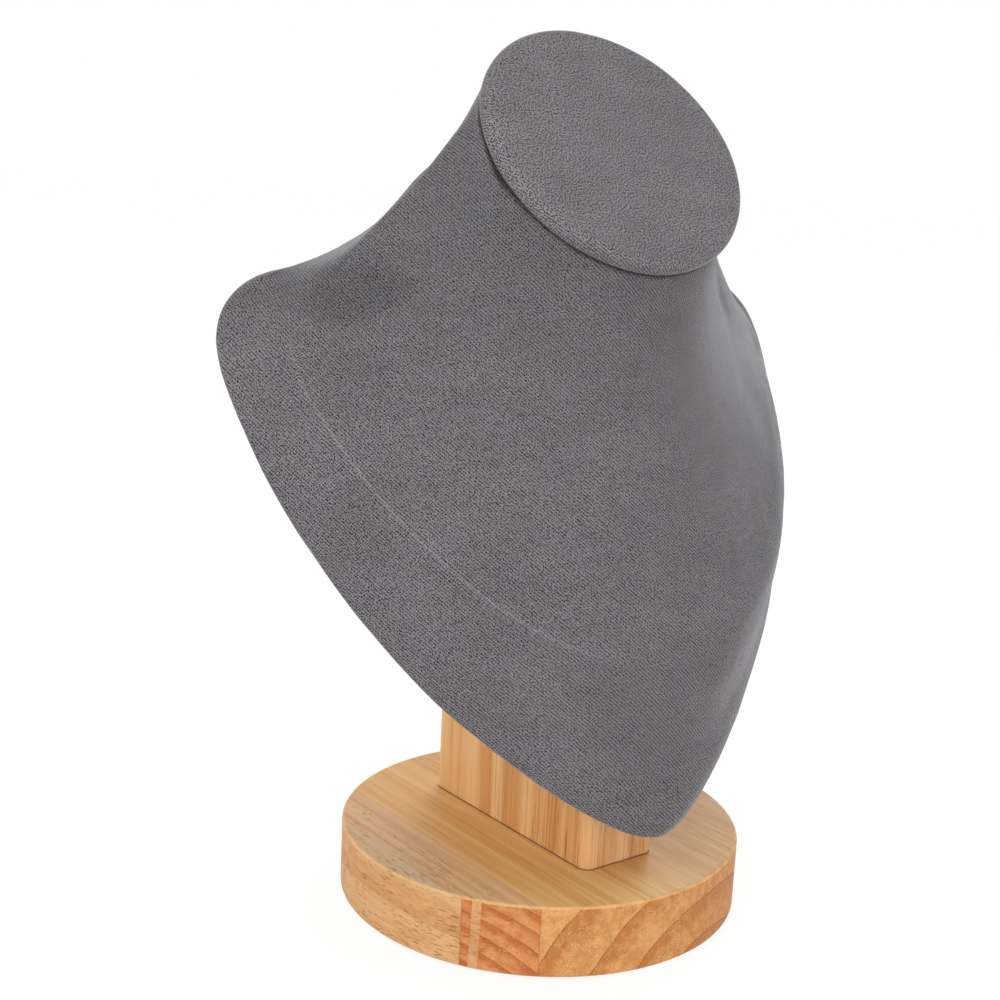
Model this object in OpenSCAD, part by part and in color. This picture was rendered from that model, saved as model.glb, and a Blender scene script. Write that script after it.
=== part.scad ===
// Tabletop necklace stand: a fabric-covered neck-and-chest form that leans back on a
// wooden post, which stands on a round wooden base.
// Frame: +Z up, the chest faces -Y, and the origin is the middle of the underside on the
// table. The bust has a plane of its own, the shield, which leans back from its tip:
// x across, y up the slope and z out of the chest, with z = 0 through the fullest rim.

/* [Base] */
// Diameter of the round wooden base
base_d = 112; // [90:1:150]
// Thickness of the wooden base
base_h = 19.5; // [14:0.5:30]
// Rounding of the edges of the base
base_edge_r = 1; // [0.5:0.5:4]
// Diameter of the felt pad under the base
pad_d = 100; // [70:1:108]
// Thickness of the felt pad
pad_t = 0.5; // [0.5:0.5:3]

/* [Post] */
// Width of the post, side to side
post_w = 24.5; // [18:0.5:40]
// Depth of the post, front to back
post_l = 69; // [50:1:84]
// Height of the post's flat top above the base
post_h = 90; // [60:1:130]
// Rounding of the post's upright edges
post_edge_r = 3; // [1:0.5:6]
// Rounding of the post's top rear edge
post_top_r = 5; // [1:0.5:10]

/* [Bust place] */
// Lean of the bust, back from the vertical
bust_lean = 30; // [20:1:40]
// How far the tip of the chest lies in front of the base's middle
tip_reach = 49; // [40:1:60]
// Height of the tip of the chest above the base
tip_clear = 13; // [8:1:40]

/* [Bust outline] */
// Full width of the bust across the shoulders
bust_w = 184; // [160:1:220]
// Height up the slope at which the bust is widest
wide_up = 138.5; // [124:0.5:150]
// Half width where the chest's sides are steepest
flank_x = 60; // [50:1:70]
// Height up the slope of that place
flank_up = 50.5; // [40:0.5:60]
// Direction of the outline there, from level
flank_angle = 56.5; // [50:0.5:64]
// Half width at the top of the shoulder
shoulder_x = 67.5; // [60:0.5:76]
// Height up the slope of the top of the shoulder
shoulder_up = 161.5; // [152:0.5:170]
// Height up the slope of the rim behind the neck
collar_up = 196.5; // [186:0.5:206]
// Radius of the rolled rim
rim_r = 2; // [1:0.25:3]

/* [Chest ridge] */
// Height up the slope of the ridge at the middle
ridge_up = 41; // [34:1:50]
// Half width of the ridge at its side
ridge_side_x = 79; // [72:1:84]
// Height up the slope of that place
ridge_side_up = 123.5; // [114:0.5:130]
// Half width of the ridge at the shoulder
ridge_shoulder_x = 62; // [54:1:66]
// Height up the slope of the ridge at the shoulder
ridge_shoulder_up = 154; // [148:1:156]
// Height up the slope of the ridge behind the neck
ridge_collar_up = 181; // [175:0.5:188]
// Stand-out of the ridge at the middle
ridge_front_out = 26; // [16:1:34]
// Stand-out of the ridge at the side
ridge_side_out = 12.3; // [7:0.1:20]
// Stand-out of the ridge at the shoulder
ridge_shoulder_out = 8.5; // [6:0.1:16]
// Stand-out of the ridge behind the neck
ridge_collar_out = 8.3; // [5:0.1:14]
// Length over which the ridge is rounded at the chest, each way
ridge_soft = 3; // [1:0.5:5]
// Length over which the ridge is rounded behind the shoulders and the neck, each way
ridge_back_soft = 7; // [2:0.5:8]

/* [Neck] */
// Width of the oval neck cap
cap_w = 79.4; // [66:0.2:96]
// Length of the oval neck cap, front to back
cap_l = 72.6; // [58:0.2:86]
// Height up the slope of the middle of the cap
cap_up = 167.5; // [160:0.5:176]
// Stand-out of the middle of the cap
cap_out = 59.9; // [50:0.1:72]
// Extra lean of the cap against the shield
cap_tilt = 7.2; // [0:0.2:14]
// Thickness of the cap with its fabric
cap_t = 4.5; // [4:0.5:8]
// Rounding of the cap's top edge
cap_top_r = 2.6; // [1.4:0.2:2.6]
// Rounding of the cap's lower edge
cap_low_r = 1.2; // [0.9:0.1:1.4]
// How far the cap stands out past the neck
cap_over = 1.5; // [1.5:0.5:3]
// Width of the fabric turned under the cap
cap_hem_w = 9; // [5:1:14]
// Slope of the chest as it leaves the ridge at the middle
chest_front_rise = 15; // [5:1:25]
// Slope of the chest as it leaves the ridge at the side
chest_side_rise = 13.5; // [5:0.5:25]
// Slope of the chest as it leaves the ridge at the shoulder
chest_shoulder_rise = 64; // [30:1:72]
// Slope of the nape as it leaves the ridge behind the neck
chest_back_rise = 79; // [60:1:86]
// Slope of the neck under the cap at the front
neck_front_rise = 39; // [30:1:55]
// Slope of the neck under the cap at the side
neck_side_rise = 72.5; // [58:0.5:82]
// Slope of the neck under the cap at the shoulder
neck_shoulder_rise = 100; // [85:1:105]
// Slope of the neck under the cap at the back
neck_back_rise = 101; // [85:1:108]

/* [Walls] */
// Thickness of the fabric
fabric_t = 0.8; // [0.4:0.1:1.2]
// Wall of the moulded form under the fabric
form_wall = 3; // [2:0.5:4]
// Width of the fabric and of the form's lip turned in at the back
hem_w = 7; // [6:0.25:7.5]
// Thickness of the board that closes the back
board_t = 2.4; // [2:0.2:5]
// How far the back board with its fabric lies in from the rim
back_inset = 4.5; // [3.5:0.25:5]

/* [Screws] */
// Diameter of the wood screws
screw_d = 4; // [3:0.5:5]
// Diameter of the screw heads
screw_head_d = 7.6; // [6:0.2:9]
// Length of the screws up through the base
base_screw_l = 38; // [30:1:50]
// Spacing of the screws up through the base
base_screw_gap = 36; // [24:1:44]
// Length of the screws through the back board
back_screw_l = 28; // [16:1:34]
// Height up the slope of the lower screw through the back board
back_screw_up = 40; // [34:1:46]
// Spacing of the screws through the back board
back_screw_gap = 34; // [20:1:38]
// Depth of the screw heads below the face that they sit in
screw_sink = 0.3; // [0:0.1:0.6]
// Clearance round a screw
screw_clear = 0.1; // [0.05:0.05:0.3]

/* [Hidden] */
$fn = 96;
base_top = pad_t + base_h;
tip_z = base_top + tip_clear;
// The back of the bust's fabric, and the outer face of the covered back board
shield_back = -rim_r;
panel_back = shield_back - board_t - fabric_t;
cut_size = 400;
// Steps along each stretch of the half outline: tip to flank, flank to side, side to
// shoulder, shoulder to collar
rim_steps = [9, 9, 7, 10];
ridge_steps = [rim_steps[0] + rim_steps[1], rim_steps[2], rim_steps[3]];
side_i = ridge_steps[0];
shoulder_i = side_i + ridge_steps[1];
collar_i = shoulder_i + ridge_steps[2];
ring_n = 2 * collar_i;
chest_steps = 10;
// Directions and handle lengths of the curves where two stretches meet
side_angle = 90;
ridge_side_angle = 78;
shoulder_angle = 175;
level_out = 0;
level_in = 180;
tip_handle = 16.5;
flank_handle = 12;
side_handle = 39.5;
side_top_handle = 13.5;
shoulder_handle = 13;
shoulder_in_handle = 32.5;
collar_handle = 20;
ridge_front_handle = 37.5;
ridge_side_handle = 48;
ridge_side_top_handle = 18;
ridge_shoulder_handle = 10;
ridge_shoulder_in_handle = 34;
ridge_collar_handle = 21.5;
// Handle lengths of the sections as shares of each section's own length
low_handle = [0.35, 0.34, 0.40, 0.24];
high_handle = [0.30, 0.36, 0.17, 0.29];
// Place round the neck, from its front, that each knot of the outline runs up to
neck_side_angle = 63;
neck_shoulder_angle = 114;
// Length over which a section turns from square to the neck to its own direction
turn_l = 25;
roll_angles = [-90, -45, 0, 45];
band_share = 0.45;
screw_point_l = 5;
screw_point_r = 0.4;
recess_w = 1;
recess_l = 3.6;
recess_h = 1.4;

function lerp(a, b, t) = a + (b - a) * t;
function ease(a, b, t) =
    let (q = min(1, max(0, t)))
    lerp(a, b, q * q * (3 - 2 * q));
function unit(v) = v / norm(v);
function dir2(a) = [cos(a), sin(a)];
function curve(p, t) =
    let (u = 1 - t)
    u * u * u * p[0] + 3 * u * u * t * p[1] + 3 * u * t * t * p[2] + t * t * t * p[3];
// The four control points of a curve from p to q with a direction and a handle at each end
function stretch(p, p_dir, p_handle, q, q_dir, q_handle) =
    [p, p + dir2(p_dir) * p_handle, q - dir2(q_dir) * q_handle, q];
function half_outline(parts, steps) = concat(
    [for (k = [0 : len(parts) - 1]) for (i = [0 : steps[k] - 1]) curve(parts[k], i / steps[k])],
    [parts[len(parts) - 1][3]]
);

tip = [0, 0];
flank = [flank_x, flank_up];
side = [bust_w / 2, wide_up];
shoulder = [shoulder_x, shoulder_up];
collar = [0, collar_up];
rim = half_outline([
    stretch(tip, level_out, tip_handle, flank, flank_angle, flank_handle),
    stretch(flank, flank_angle, flank_handle, side, side_angle, side_handle),
    stretch(side, side_angle, side_top_handle, shoulder, shoulder_angle, shoulder_handle),
    stretch(shoulder, shoulder_angle, shoulder_in_handle, collar, level_in, collar_handle)
], rim_steps);
// Directions square to the rim, towards the inside
rim_in = [for (i = [0 : collar_i])
    i == 0 ? [0, 1] :
    i == collar_i ? [0, -1] :
    let (v = unit(rim[i + 1] - rim[i - 1])) [-v[1], v[0]]
];

ridge_side = [ridge_side_x, ridge_side_up];
ridge_shoulder = [ridge_shoulder_x, ridge_shoulder_up];
ridge_flat = half_outline([
    stretch([0, ridge_up], level_out, ridge_front_handle,
            ridge_side, ridge_side_angle, ridge_side_handle),
    stretch(ridge_side, ridge_side_angle, ridge_side_top_handle,
            ridge_shoulder, shoulder_angle, ridge_shoulder_handle),
    stretch(ridge_shoulder, shoulder_angle, ridge_shoulder_in_handle,
            [0, ridge_collar_up], level_in, ridge_collar_handle)
], ridge_steps);
// A value given at the front, side, shoulder and back, eased along the half outline
function along(v, i) =
    i <= side_i ? ease(v[0], v[1], i / side_i) :
    i <= shoulder_i ? ease(v[1], v[2], (i - side_i) / (shoulder_i - side_i)) :
                      ease(v[2], v[3], (i - shoulder_i) / (collar_i - shoulder_i));
function ridge_out(i) =
    i <= side_i ?
        lerp(ridge_front_out, ridge_side_out, pow(i / side_i, 2)) :
        along([ridge_front_out, ridge_side_out, ridge_shoulder_out, ridge_collar_out], i);
ridge = [for (i = [0 : collar_i]) [ridge_flat[i][0], ridge_flat[i][1], ridge_out(i)]];
function ridge_round(i) = along([ridge_soft, ridge_soft, ridge_back_soft, ridge_back_soft], i);

function neck_angle(i) =
    i <= side_i ? lerp(0, neck_side_angle, i / side_i) :
    i <= shoulder_i ?
        lerp(neck_side_angle, neck_shoulder_angle, (i - side_i) / (shoulder_i - side_i)) :
        lerp(neck_shoulder_angle, 180, (i - shoulder_i) / (collar_i - shoulder_i));
// A point of the cap's own plane in the shield's frame
function cap_point(p) = [
    p[0],
    cap_up + p[1] * cos(cap_tilt) + p[2] * sin(cap_tilt),
    cap_out - p[1] * sin(cap_tilt) + p[2] * cos(cap_tilt)
];
function oval_point(a, inset) =
    [(cap_w / 2 - inset) * sin(a), -(cap_l / 2 - inset) * cos(a)];
function neck_point(i, inset) =
    let (p = oval_point(neck_angle(i), inset)) cap_point([p[0], p[1], -cap_t]);
// Direction square to the neck, towards its middle, in the shield's plane
function neck_in(i) =
    let (a = neck_angle(i)) unit([-sin(a) / cap_w, cos(a) / cap_l, 0]);
chest_rises = [chest_front_rise, chest_side_rise, chest_shoulder_rise, chest_back_rise];
neck_rises = [neck_front_rise, neck_side_rise, neck_shoulder_rise, neck_back_rise];
function rise(flat, a) = flat * cos(a) + [0, 0, sin(a)];
function section(i) =
    let (
        low = ridge[i],
        high = neck_point(i, cap_over),
        d = high - low,
        flat = [d[0], d[1], 0],
        turn = min(1, norm(flat) / turn_l),
        low_dir = unit(unit(flat) * turn + neck_in(i) * (1 - turn)),
        low_rise = along(chest_rises, i),
        high_rise = along(neck_rises, i)
    )
    [
        low,
        low + rise(low_dir, low_rise) * norm(d) * along(low_handle, i),
        high - rise(neck_in(i), high_rise) * norm(d) * along(high_handle, i),
        high
    ];
sections = [for (i = [0 : collar_i]) section(i)];
// Share of each section that the soft stretch after the ridge takes
soft_share = [for (i = [0 : collar_i])
    ridge_round(i) / (3 * norm(sections[i][1] - sections[i][0]))
];

function rim_point(i, inset, out) =
    let (p = rim[i] + rim_in[i] * inset) [p[0], p[1], out];
function roll_point(i, a, t) =
    rim_point(i, rim_r - (rim_r - t) * cos(a), (rim_r - t) * sin(a));
function band_end(i) =
    let (v = rim_point(i, 0, 0) - ridge[i]) ridge[i] + unit(v) * ridge_round(i);
function chest_point(i, k) =
    curve(sections[i], lerp(soft_share[i], 1, k / chest_steps));
function soft_ridge(i) = (band_end(i) + 2 * ridge[i] + chest_point(i, 0)) / 4;
// A half row and its mirror image as one closed ring
function ring(half) = concat(
    half,
    [for (i = [collar_i - 1 : -1 : 1]) [-half[i][0], half[i][1], half[i][2]]]
);

// Rows of the fabric's face, from its hem at the back to the neck
hem_rows = 1 + len(roll_angles);
face_rows = concat(
    [ring([for (i = [0 : collar_i]) rim_point(i, hem_w, -rim_r)])],
    [for (a = roll_angles) ring([for (i = [0 : collar_i]) roll_point(i, a, 0)])],
    [ring([for (i = [0 : collar_i]) lerp(rim_point(i, 0, 0), band_end(i), band_share)])],
    [ring([for (i = [0 : collar_i]) band_end(i)])],
    [ring([for (i = [0 : collar_i]) soft_ridge(i)])],
    [for (k = [0 : chest_steps]) ring([for (i = [0 : collar_i]) chest_point(i, k)])]
);
last_row = len(face_rows) - 1;
band_end_row = hem_rows + 1;
function row_normal(r, j) = unit(cross(
    face_rows[r][(j + 1) % ring_n] - face_rows[r][(j + ring_n - 1) % ring_n],
    face_rows[r + 1][j] - face_rows[r - 1][j]
));
// Row r of the surface that lies t under the fabric's face
function under_row(r, t) =
    r == 0 ? ring([for (i = [0 : collar_i]) rim_point(i, hem_w, t - rim_r)]) :
    r < hem_rows ? ring([for (i = [0 : collar_i]) roll_point(i, roll_angles[r - 1], t)]) :
    r == last_row ? ring([for (i = [0 : collar_i]) neck_point(i, cap_over + t)]) :
    [for (j = [0 : ring_n - 1]) face_rows[r][j] - row_normal(r, j) * t];

// Two triangles for each cell, with the cut mirrored between the two halves
function cell(a, b, c, d, left) = left ? [[a, c, b], [a, d, c]] : [[a, d, b], [b, d, c]];
function strip(r, next, n, turned) = [for (j = [0 : n - 1])
    for (f = cell(r * n + j, r * n + (j + 1) % n, next * n + (j + 1) % n, next * n + j,
                  (j < n / 2) != turned)) f
];
// A tube-like wall: its outer rows run one way and its inner rows run back to the first.
// The cells of the way back are cut the other way, so that two such walls meet exactly.
module closed_wall(outer, inner) {
    rows = concat(outer, inner);
    n = len(outer[0]);
    polyhedron(
        points = [for (row = rows) for (p = row) p],
        faces = [for (r = [0 : len(rows) - 1])
            for (f = strip(r, (r + 1) % len(rows), n, r >= len(outer))) f],
        convexity = 8
    );
}
// A wall between rows whose first and last rows are closed by flat faces. The cells of its
// first strips are cut the other way.
module capped_wall(rows, turned_strips = 0) {
    n = len(rows[0]);
    m = len(rows);
    polyhedron(
        points = [for (row = rows) for (p = row) p],
        faces = concat(
            [for (r = [0 : m - 2]) for (f = strip(r, r + 1, n, r < turned_strips)) f],
            [[for (j = [0 : n - 1]) j]],
            [[for (j = [n - 1 : -1 : 0]) (m - 1) * n + j]]
        ),
        convexity = 6
    );
}

module in_shield() {
    translate([0, -tip_reach, tip_z])
        rotate([90 - bust_lean, 0, 0])
            children();
}
module on_cap() {
    in_shield()
        translate([0, cap_up, cap_out])
            rotate([-cap_tilt, 0, 0])
                children();
}
module slab(inset, low, high) {
    translate([0, 0, low])
        linear_extrude(high - low)
            polygon([for (p = ring([for (i = [0 : collar_i]) rim_point(i, inset, 0)]))
                [p[0], p[1]]]);
}

// A countersunk wood screw that points up, with the face of its head at z = 0
module screw(length) {
    r = screw_d / 2;
    head_r = screw_head_d / 2;
    difference() {
        rotate_extrude()
            polygon([
                [0, 0], [head_r, 0], [r, head_r - r], [r, length - screw_point_l],
                [screw_point_r, length], [0, length]
            ]);
        for (a = [0, 90])
            rotate([0, 0, a])
                translate([-recess_l / 2, -recess_w / 2, -recess_h])
                    cube([recess_l, recess_w, 2 * recess_h]);
    }
}
module screw_hole(length) {
    r = screw_d / 2 + screw_clear;
    head_r = screw_head_d / 2 + screw_clear;
    translate([0, 0, -screw_sink - 1])
        cylinder(r = head_r, h = screw_sink + 1);
    cylinder(r1 = head_r, r2 = r, h = head_r - r);
    cylinder(r = r, h = length + screw_clear);
}
module at_base_screws() {
    for (y = [-base_screw_gap / 2, base_screw_gap / 2])
        translate([0, y, pad_t + screw_sink])
            children();
}
module at_back_screws() {
    for (up = [back_screw_up, back_screw_up + back_screw_gap])
        in_shield()
            translate([0, up, shield_back - screw_sink])
                rotate([180, 0, 0])
                    children();
}

module base_pad() {
    color("dimgray")
        cylinder(d = pad_d, h = pad_t);
}

module base() {
    r = base_d / 2;
    e = base_edge_r;
    low = [for (a = [-90 : 15 : 0]) [r - e + e * cos(a), pad_t + e + e * sin(a)]];
    high = [for (a = [0 : 15 : 90]) [r - e + e * cos(a), base_top - e + e * sin(a)]];
    color("burlywood")
        difference() {
            rotate_extrude()
                polygon(concat([[0, pad_t]], low, high, [[0, base_top]]));
            at_base_screws() screw_hole(base_screw_l);
        }
}

module base_screws() {
    color("silver")
        at_base_screws() screw(base_screw_l);
}

module post_blank() {
    x = post_w / 2 - post_edge_r;
    y = post_l / 2 - post_edge_r;
    translate([0, 0, base_top])
        linear_extrude(post_h)
            union() {
                square([post_w, 2 * y], center = true);
                square([2 * x, post_l], center = true);
                for (sx = [-1, 1], sy = [-1, 1])
                    translate([sx * x, sy * y])
                        circle(r = post_edge_r, $fn = 48);
            }
}

module post() {
    color("sandybrown")
        difference() {
            post_blank();
            in_shield()
                translate([-cut_size / 2, -cut_size / 2, panel_back])
                    cube(cut_size);
            translate([-cut_size / 2, post_l / 2 - post_top_r, base_top + post_h - post_top_r])
                rotate([0, 90, 0])
                    difference() {
                        translate([-2 * post_top_r, 0, 0])
                            cube([2 * post_top_r, 2 * post_top_r, cut_size]);
                        cylinder(r = post_top_r, h = cut_size);
                    }
            at_base_screws() screw_hole(base_screw_l);
            at_back_screws() screw_hole(back_screw_l);
        }
}

module back_cover() {
    color("dimgray")
        difference() {
            in_shield() slab(back_inset, panel_back, shield_back);
            in_shield() slab(back_inset + fabric_t, panel_back + fabric_t, shield_back + 1);
            at_back_screws() screw_hole(back_screw_l);
        }
}

module back_board() {
    color("peru")
        difference() {
            in_shield() slab(back_inset + fabric_t, panel_back + fabric_t, shield_back);
            at_back_screws() screw_hole(back_screw_l);
        }
}

module back_screws() {
    color("silver")
        at_back_screws() screw(back_screw_l);
}

module bust_form() {
    wall = fabric_t + form_wall;
    color("wheat")
        in_shield()
            closed_wall(
                [for (r = [0 : last_row]) under_row(r, fabric_t)],
                [for (r = [last_row : -1 : band_end_row]) under_row(r, wall)]
            );
}

module chest_cover() {
    color("gray")
        in_shield()
            closed_wall(
                face_rows,
                [for (r = [last_row : -1 : 0]) under_row(r, fabric_t)]
            );
}

function oval(inset, z) = [for (i = [0 : ring_n - 1])
    let (p = oval_point(360 * i / ring_n, inset)) [p[0], p[1], z]
];
// Rows round the cap's edge from its lower face to its top, t under the fabric's face
function cap_rows(t) = concat(
    [for (a = [-90 : 45 : 0])
        oval(cap_low_r - (cap_low_r - t) * cos(a), cap_low_r - cap_t + (cap_low_r - t) * sin(a))],
    [for (a = [0 : 30 : 90])
        oval(cap_top_r - (cap_top_r - t) * cos(a), (cap_top_r - t) * sin(a) - cap_top_r)]
);

module neck_cap_board() {
    color("peru")
        on_cap()
            capped_wall(cap_rows(fabric_t));
}

module neck_cap_cover() {
    face = cap_rows(0);
    inner = cap_rows(fabric_t);
    last = len(inner) - 1;
    color("gray")
        on_cap()
            capped_wall(
                concat(
                    [for (r = [last : -1 : 0]) inner[r]],
                    [oval(cap_hem_w, fabric_t - cap_t), oval(cap_hem_w, -cap_t)],
                    face
                ),
                turned_strips = last
            );
}

base_pad();
base();
base_screws();
post();
back_cover();
back_board();
back_screws();
bust_form();
chest_cover();
neck_cap_board();
neck_cap_cover();
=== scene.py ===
import math
import bmesh
import bpy
from mathutils import Matrix, Vector, noise


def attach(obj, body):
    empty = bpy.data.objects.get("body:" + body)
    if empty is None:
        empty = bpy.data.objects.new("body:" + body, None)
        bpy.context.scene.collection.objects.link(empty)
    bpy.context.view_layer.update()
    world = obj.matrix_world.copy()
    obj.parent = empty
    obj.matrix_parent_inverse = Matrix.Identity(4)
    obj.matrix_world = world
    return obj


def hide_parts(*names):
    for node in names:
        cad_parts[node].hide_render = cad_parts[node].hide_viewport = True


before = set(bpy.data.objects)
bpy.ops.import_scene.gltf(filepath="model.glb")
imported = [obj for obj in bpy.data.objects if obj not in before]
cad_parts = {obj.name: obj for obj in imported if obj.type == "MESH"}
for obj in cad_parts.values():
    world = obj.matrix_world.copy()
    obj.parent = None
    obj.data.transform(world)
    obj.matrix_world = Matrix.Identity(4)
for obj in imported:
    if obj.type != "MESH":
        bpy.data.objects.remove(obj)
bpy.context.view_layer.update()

# Shapes are in metres, and materials in millimetres.
MM = 1000

# Places and sizes of the solids

# The chest leans back in a plane of its own, the shield: x across, y up the slope and
# z out of the chest, with z = 0 through the fullest rim.
LEAN = math.radians(30)
TIP = Vector((0, -0.049, 0.033))
SHIELD = Matrix.Translation(TIP) @ Matrix.Rotation(math.pi / 2 - LEAN, 4, "X")
TO_SHIELD = SHIELD.inverted()

# Neck cap: an oval with a rounded edge
CAP_W = 0.0794
CAP_L = 0.0726
CAP_T = 0.0045
CAP_TOP_R = 0.0026
CAP_LOW_R = 0.0012
CAP_HEM_W = 0.009
CAP_UP = 0.1675
CAP_OUT = 0.0599
CAP_TILT = math.radians(-7.2)
CAP = (
    SHIELD
    @ Matrix.Translation((0, CAP_UP, CAP_OUT))
    @ Matrix.Rotation(CAP_TILT, 4, "X")
)

# Back panel: the heights of its face and of the top of its edge, and the edge's radius
BACK_FACE = -0.0052
BACK_TOP = -0.002
BACK_EDGE_R = 0.0013
BACK_MIDDLE = Vector((0, 0.11, 0))
# Its screw holes lie within this half width, between these places up the slope
HOLES_HALF = 0.009
HOLES_FROM = 0.025
HOLES_TO = 0.09

# Base and post, in millimetres
BASE_R = 56.0
BASE_TOP = 20.0
POST_HALF_W = 12.25
POST_HALF_L = 34.5
POST_EDGE_R = 3.0

# Cloth: its thickness, how far the nap stands up, and how near points and heights are one
CLOTH_T = 0.00076
NAP = 0.0003
WELD = 1e-6
LEVEL = WELD * 10
# The hem's first step upwards is shorter than the first of these, and the steps of the cloth
# that turns in under the cap are shorter than the second
ROLL_STEP = 0.0007
UNDER_STEP = 0.001

# The hollows that the cloth spans: rows and columns at which the lift sets in or ends, over
# how many of them it does so, and how often and how strongly the cloth is pulled level
LIFT_FROM_ROW = 3
LIFT_FROM_FADE = 2
LIFT_TO_ROW = 12
LIFT_TO_FADE = 4
LIFT_COLUMN = 14
LIFT_COLUMN_FADE = 4
LIFT_ROUNDS = 45
LIFT_PULL = 0.5


def clamp(value):
    return max(0.0, min(1.0, value))


# Meshes

def bend_through(points, steps, closed=False):
    """A smooth curve through the points, with steps[i] spans between points i and i + 1. Its
    speed follows the gaps between the points, so that close points don't make it overshoot."""
    n = len(points)
    spans = n if closed else n - 1
    gaps = [max((points[(i + 1) % n] - points[i]).length, 1e-7) for i in range(spans)]
    slopes = [(points[(i + 1) % n] - points[i]) / gaps[i] for i in range(spans)]
    tangents = []
    for i in range(n):
        if closed or 0 < i < n - 1:
            before, after = gaps[i - 1], gaps[i % spans]
            slope = slopes[i - 1] * after + slopes[i % spans] * before
            tangents.append(slope / (before + after))
        else:
            tangents.append(slopes[0] if i == 0 else slopes[-1])
    curve = []
    for i in range(spans):
        k = (i + 1) % n
        for step in range(steps[i]):
            t = step / steps[i]
            curve.append(
                points[i] * (1 + 2 * t) * (1 - t) ** 2
                + tangents[i] * gaps[i] * t * (1 - t) ** 2
                + points[k] * t * t * (3 - 2 * t)
                + tangents[k] * gaps[i] * t * t * (t - 1)
            )
    if not closed:
        curve.append(points[-1].copy())
    return curve


def fine_rows(rows, across, along, closed=True):
    """Rows refined by smooth curves: across spans for each gap in a row, and along[r] spans
    between rows r and r + 1."""
    spans = [across] * (len(rows[0]) - (0 if closed else 1))
    rows = [bend_through(row, spans, closed) for row in rows]
    columns = [bend_through([row[j] for row in rows], along) for j in range(len(rows[0]))]
    return [[column[r] for column in columns] for r in range(len(columns[0]))]


def spans_for(rows, step):
    """How many spans each gap between rows needs, for steps of about that length."""
    spans = []
    for a, b in zip(rows, rows[1:]):
        longest = max((p - q).length for p, q in zip(a, b))
        spans.append(max(2, math.ceil(longest / step)))
    return spans


def way_along(marks):
    """The length of the way through marks, which are pairs of numbers."""
    return sum(math.hypot(a[0] - b[0], a[1] - b[1]) for a, b in zip(marks, marks[1:]))


def ring_mesh(name, rows, weave, centre=None, centre_weave=None):
    """A mesh of quads through rings of points, closed at its last ring by a fan if centre is
    given. weave has the same rows in the flat cloth, each with one point more, for the quad
    that closes the ring."""
    n = len(rows[0])
    mesh = bpy.data.meshes.new(name)
    points = [p for row in rows for p in row]
    faces = []
    flat = []
    for r in range(len(rows) - 1):
        for j in range(n):
            k = (j + 1) % n
            faces.append((r * n + j, r * n + k, (r + 1) * n + k, (r + 1) * n + j))
            flat += [weave[r][j], weave[r][j + 1], weave[r + 1][j + 1], weave[r + 1][j]]
    if centre is not None:
        points.append(centre)
        first = (len(rows) - 1) * n
        for j in range(n):
            faces.append((first + j, first + (j + 1) % n, len(points) - 1))
            flat += [weave[-1][j], weave[-1][j + 1], centre_weave]
    mesh.from_pydata(points, [], faces)
    layer = mesh.uv_layers.new(name="weave")
    for loop, place in zip(layer.data, flat):
        loop.uv = (place[0], place[1])
    mesh.polygons.foreach_set("use_smooth", [True] * len(mesh.polygons))
    piece = bpy.data.objects.new(name, mesh)
    bpy.context.scene.collection.objects.link(piece)
    return piece


def keep_at_points(piece, name, values):
    """Keeps a number at each point of a piece, for its material."""
    attribute = piece.data.attributes.new(name, "FLOAT", "POINT")
    attribute.data.foreach_set("value", values)


def thicken(piece, thickness):
    """Gives a piece a wall, inwards from its face."""
    wall = piece.modifiers.new("wall", "SOLIDIFY")
    wall.thickness = thickness
    wall.offset = -1
    wall.use_even_offset = True
    graph = bpy.context.evaluated_depsgraph_get()
    mesh = bpy.data.meshes.new_from_object(piece.evaluated_get(graph))
    piece.modifiers.clear()
    piece.data = mesh
    mesh.polygons.foreach_set("use_smooth", [True] * len(mesh.polygons))


def soften(piece, size, height, seed, nap=0.0):
    """Gives a stretched cloth the slight unevenness of what lies under it. nap is how far its
    standing hairs make it look thicker."""
    mesh = piece.data
    shift = Vector((seed * 3.1, seed * 1.7, seed * 2.3))
    normals = [v.normal.copy() for v in mesh.vertices]
    for v, normal in zip(mesh.vertices, normals):
        wave = noise.fractal(v.co / size + shift, 1.0, 2.0, 3)
        v.co += normal * (nap + height * wave)


def bridge_hollows(rows):
    """Lifts the cloth off the hollows between the shoulders and the neck, which it spans when
    it is pulled tight. It is only moved outwards."""
    n = len(rows[0])
    last = len(rows) - 1
    lifted = [[p.copy() for p in row] for row in rows]

    def share(r, j):
        """How much of the pull a point gets."""
        sets_in = clamp((r - LIFT_FROM_ROW) / LIFT_FROM_FADE)
        ends = clamp((LIFT_TO_ROW - r) / LIFT_TO_FADE)
        return sets_in * ends * clamp((min(j, n - j) - LIFT_COLUMN) / LIFT_COLUMN_FADE)

    def normal(grid, r, j):
        across = grid[r][(j + 1) % n] - grid[r][j - 1]
        return across.cross(grid[r + 1][j] - grid[r - 1][j]).normalized()

    def level(grid, r, j):
        """The middle of a point's four neighbours."""
        return (grid[r][(j + 1) % n] + grid[r][j - 1] + grid[r + 1][j] + grid[r - 1][j]) / 4

    places = [(r, j) for r in range(1, last) for j in range(n) if share(r, j) > 0]
    out = {place: normal(rows, *place) for place in places}
    for _ in range(LIFT_ROUNDS):
        moved = {}
        for r, j in places:
            here = lifted[r][j]
            way = normal(lifted, r, j)
            pull = (level(lifted, r, j) - here).dot(way)
            here = here + way * (pull * share(r, j) * LIFT_PULL)
            sunk = (here - rows[r][j]).dot(out[r, j])
            moved[r, j] = here - out[r, j] * min(0, sunk)
        for (r, j), p in moved.items():
            lifted[r][j] = p
    return lifted


def height_of(p):
    return (TO_SHIELD @ p).z


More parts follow.
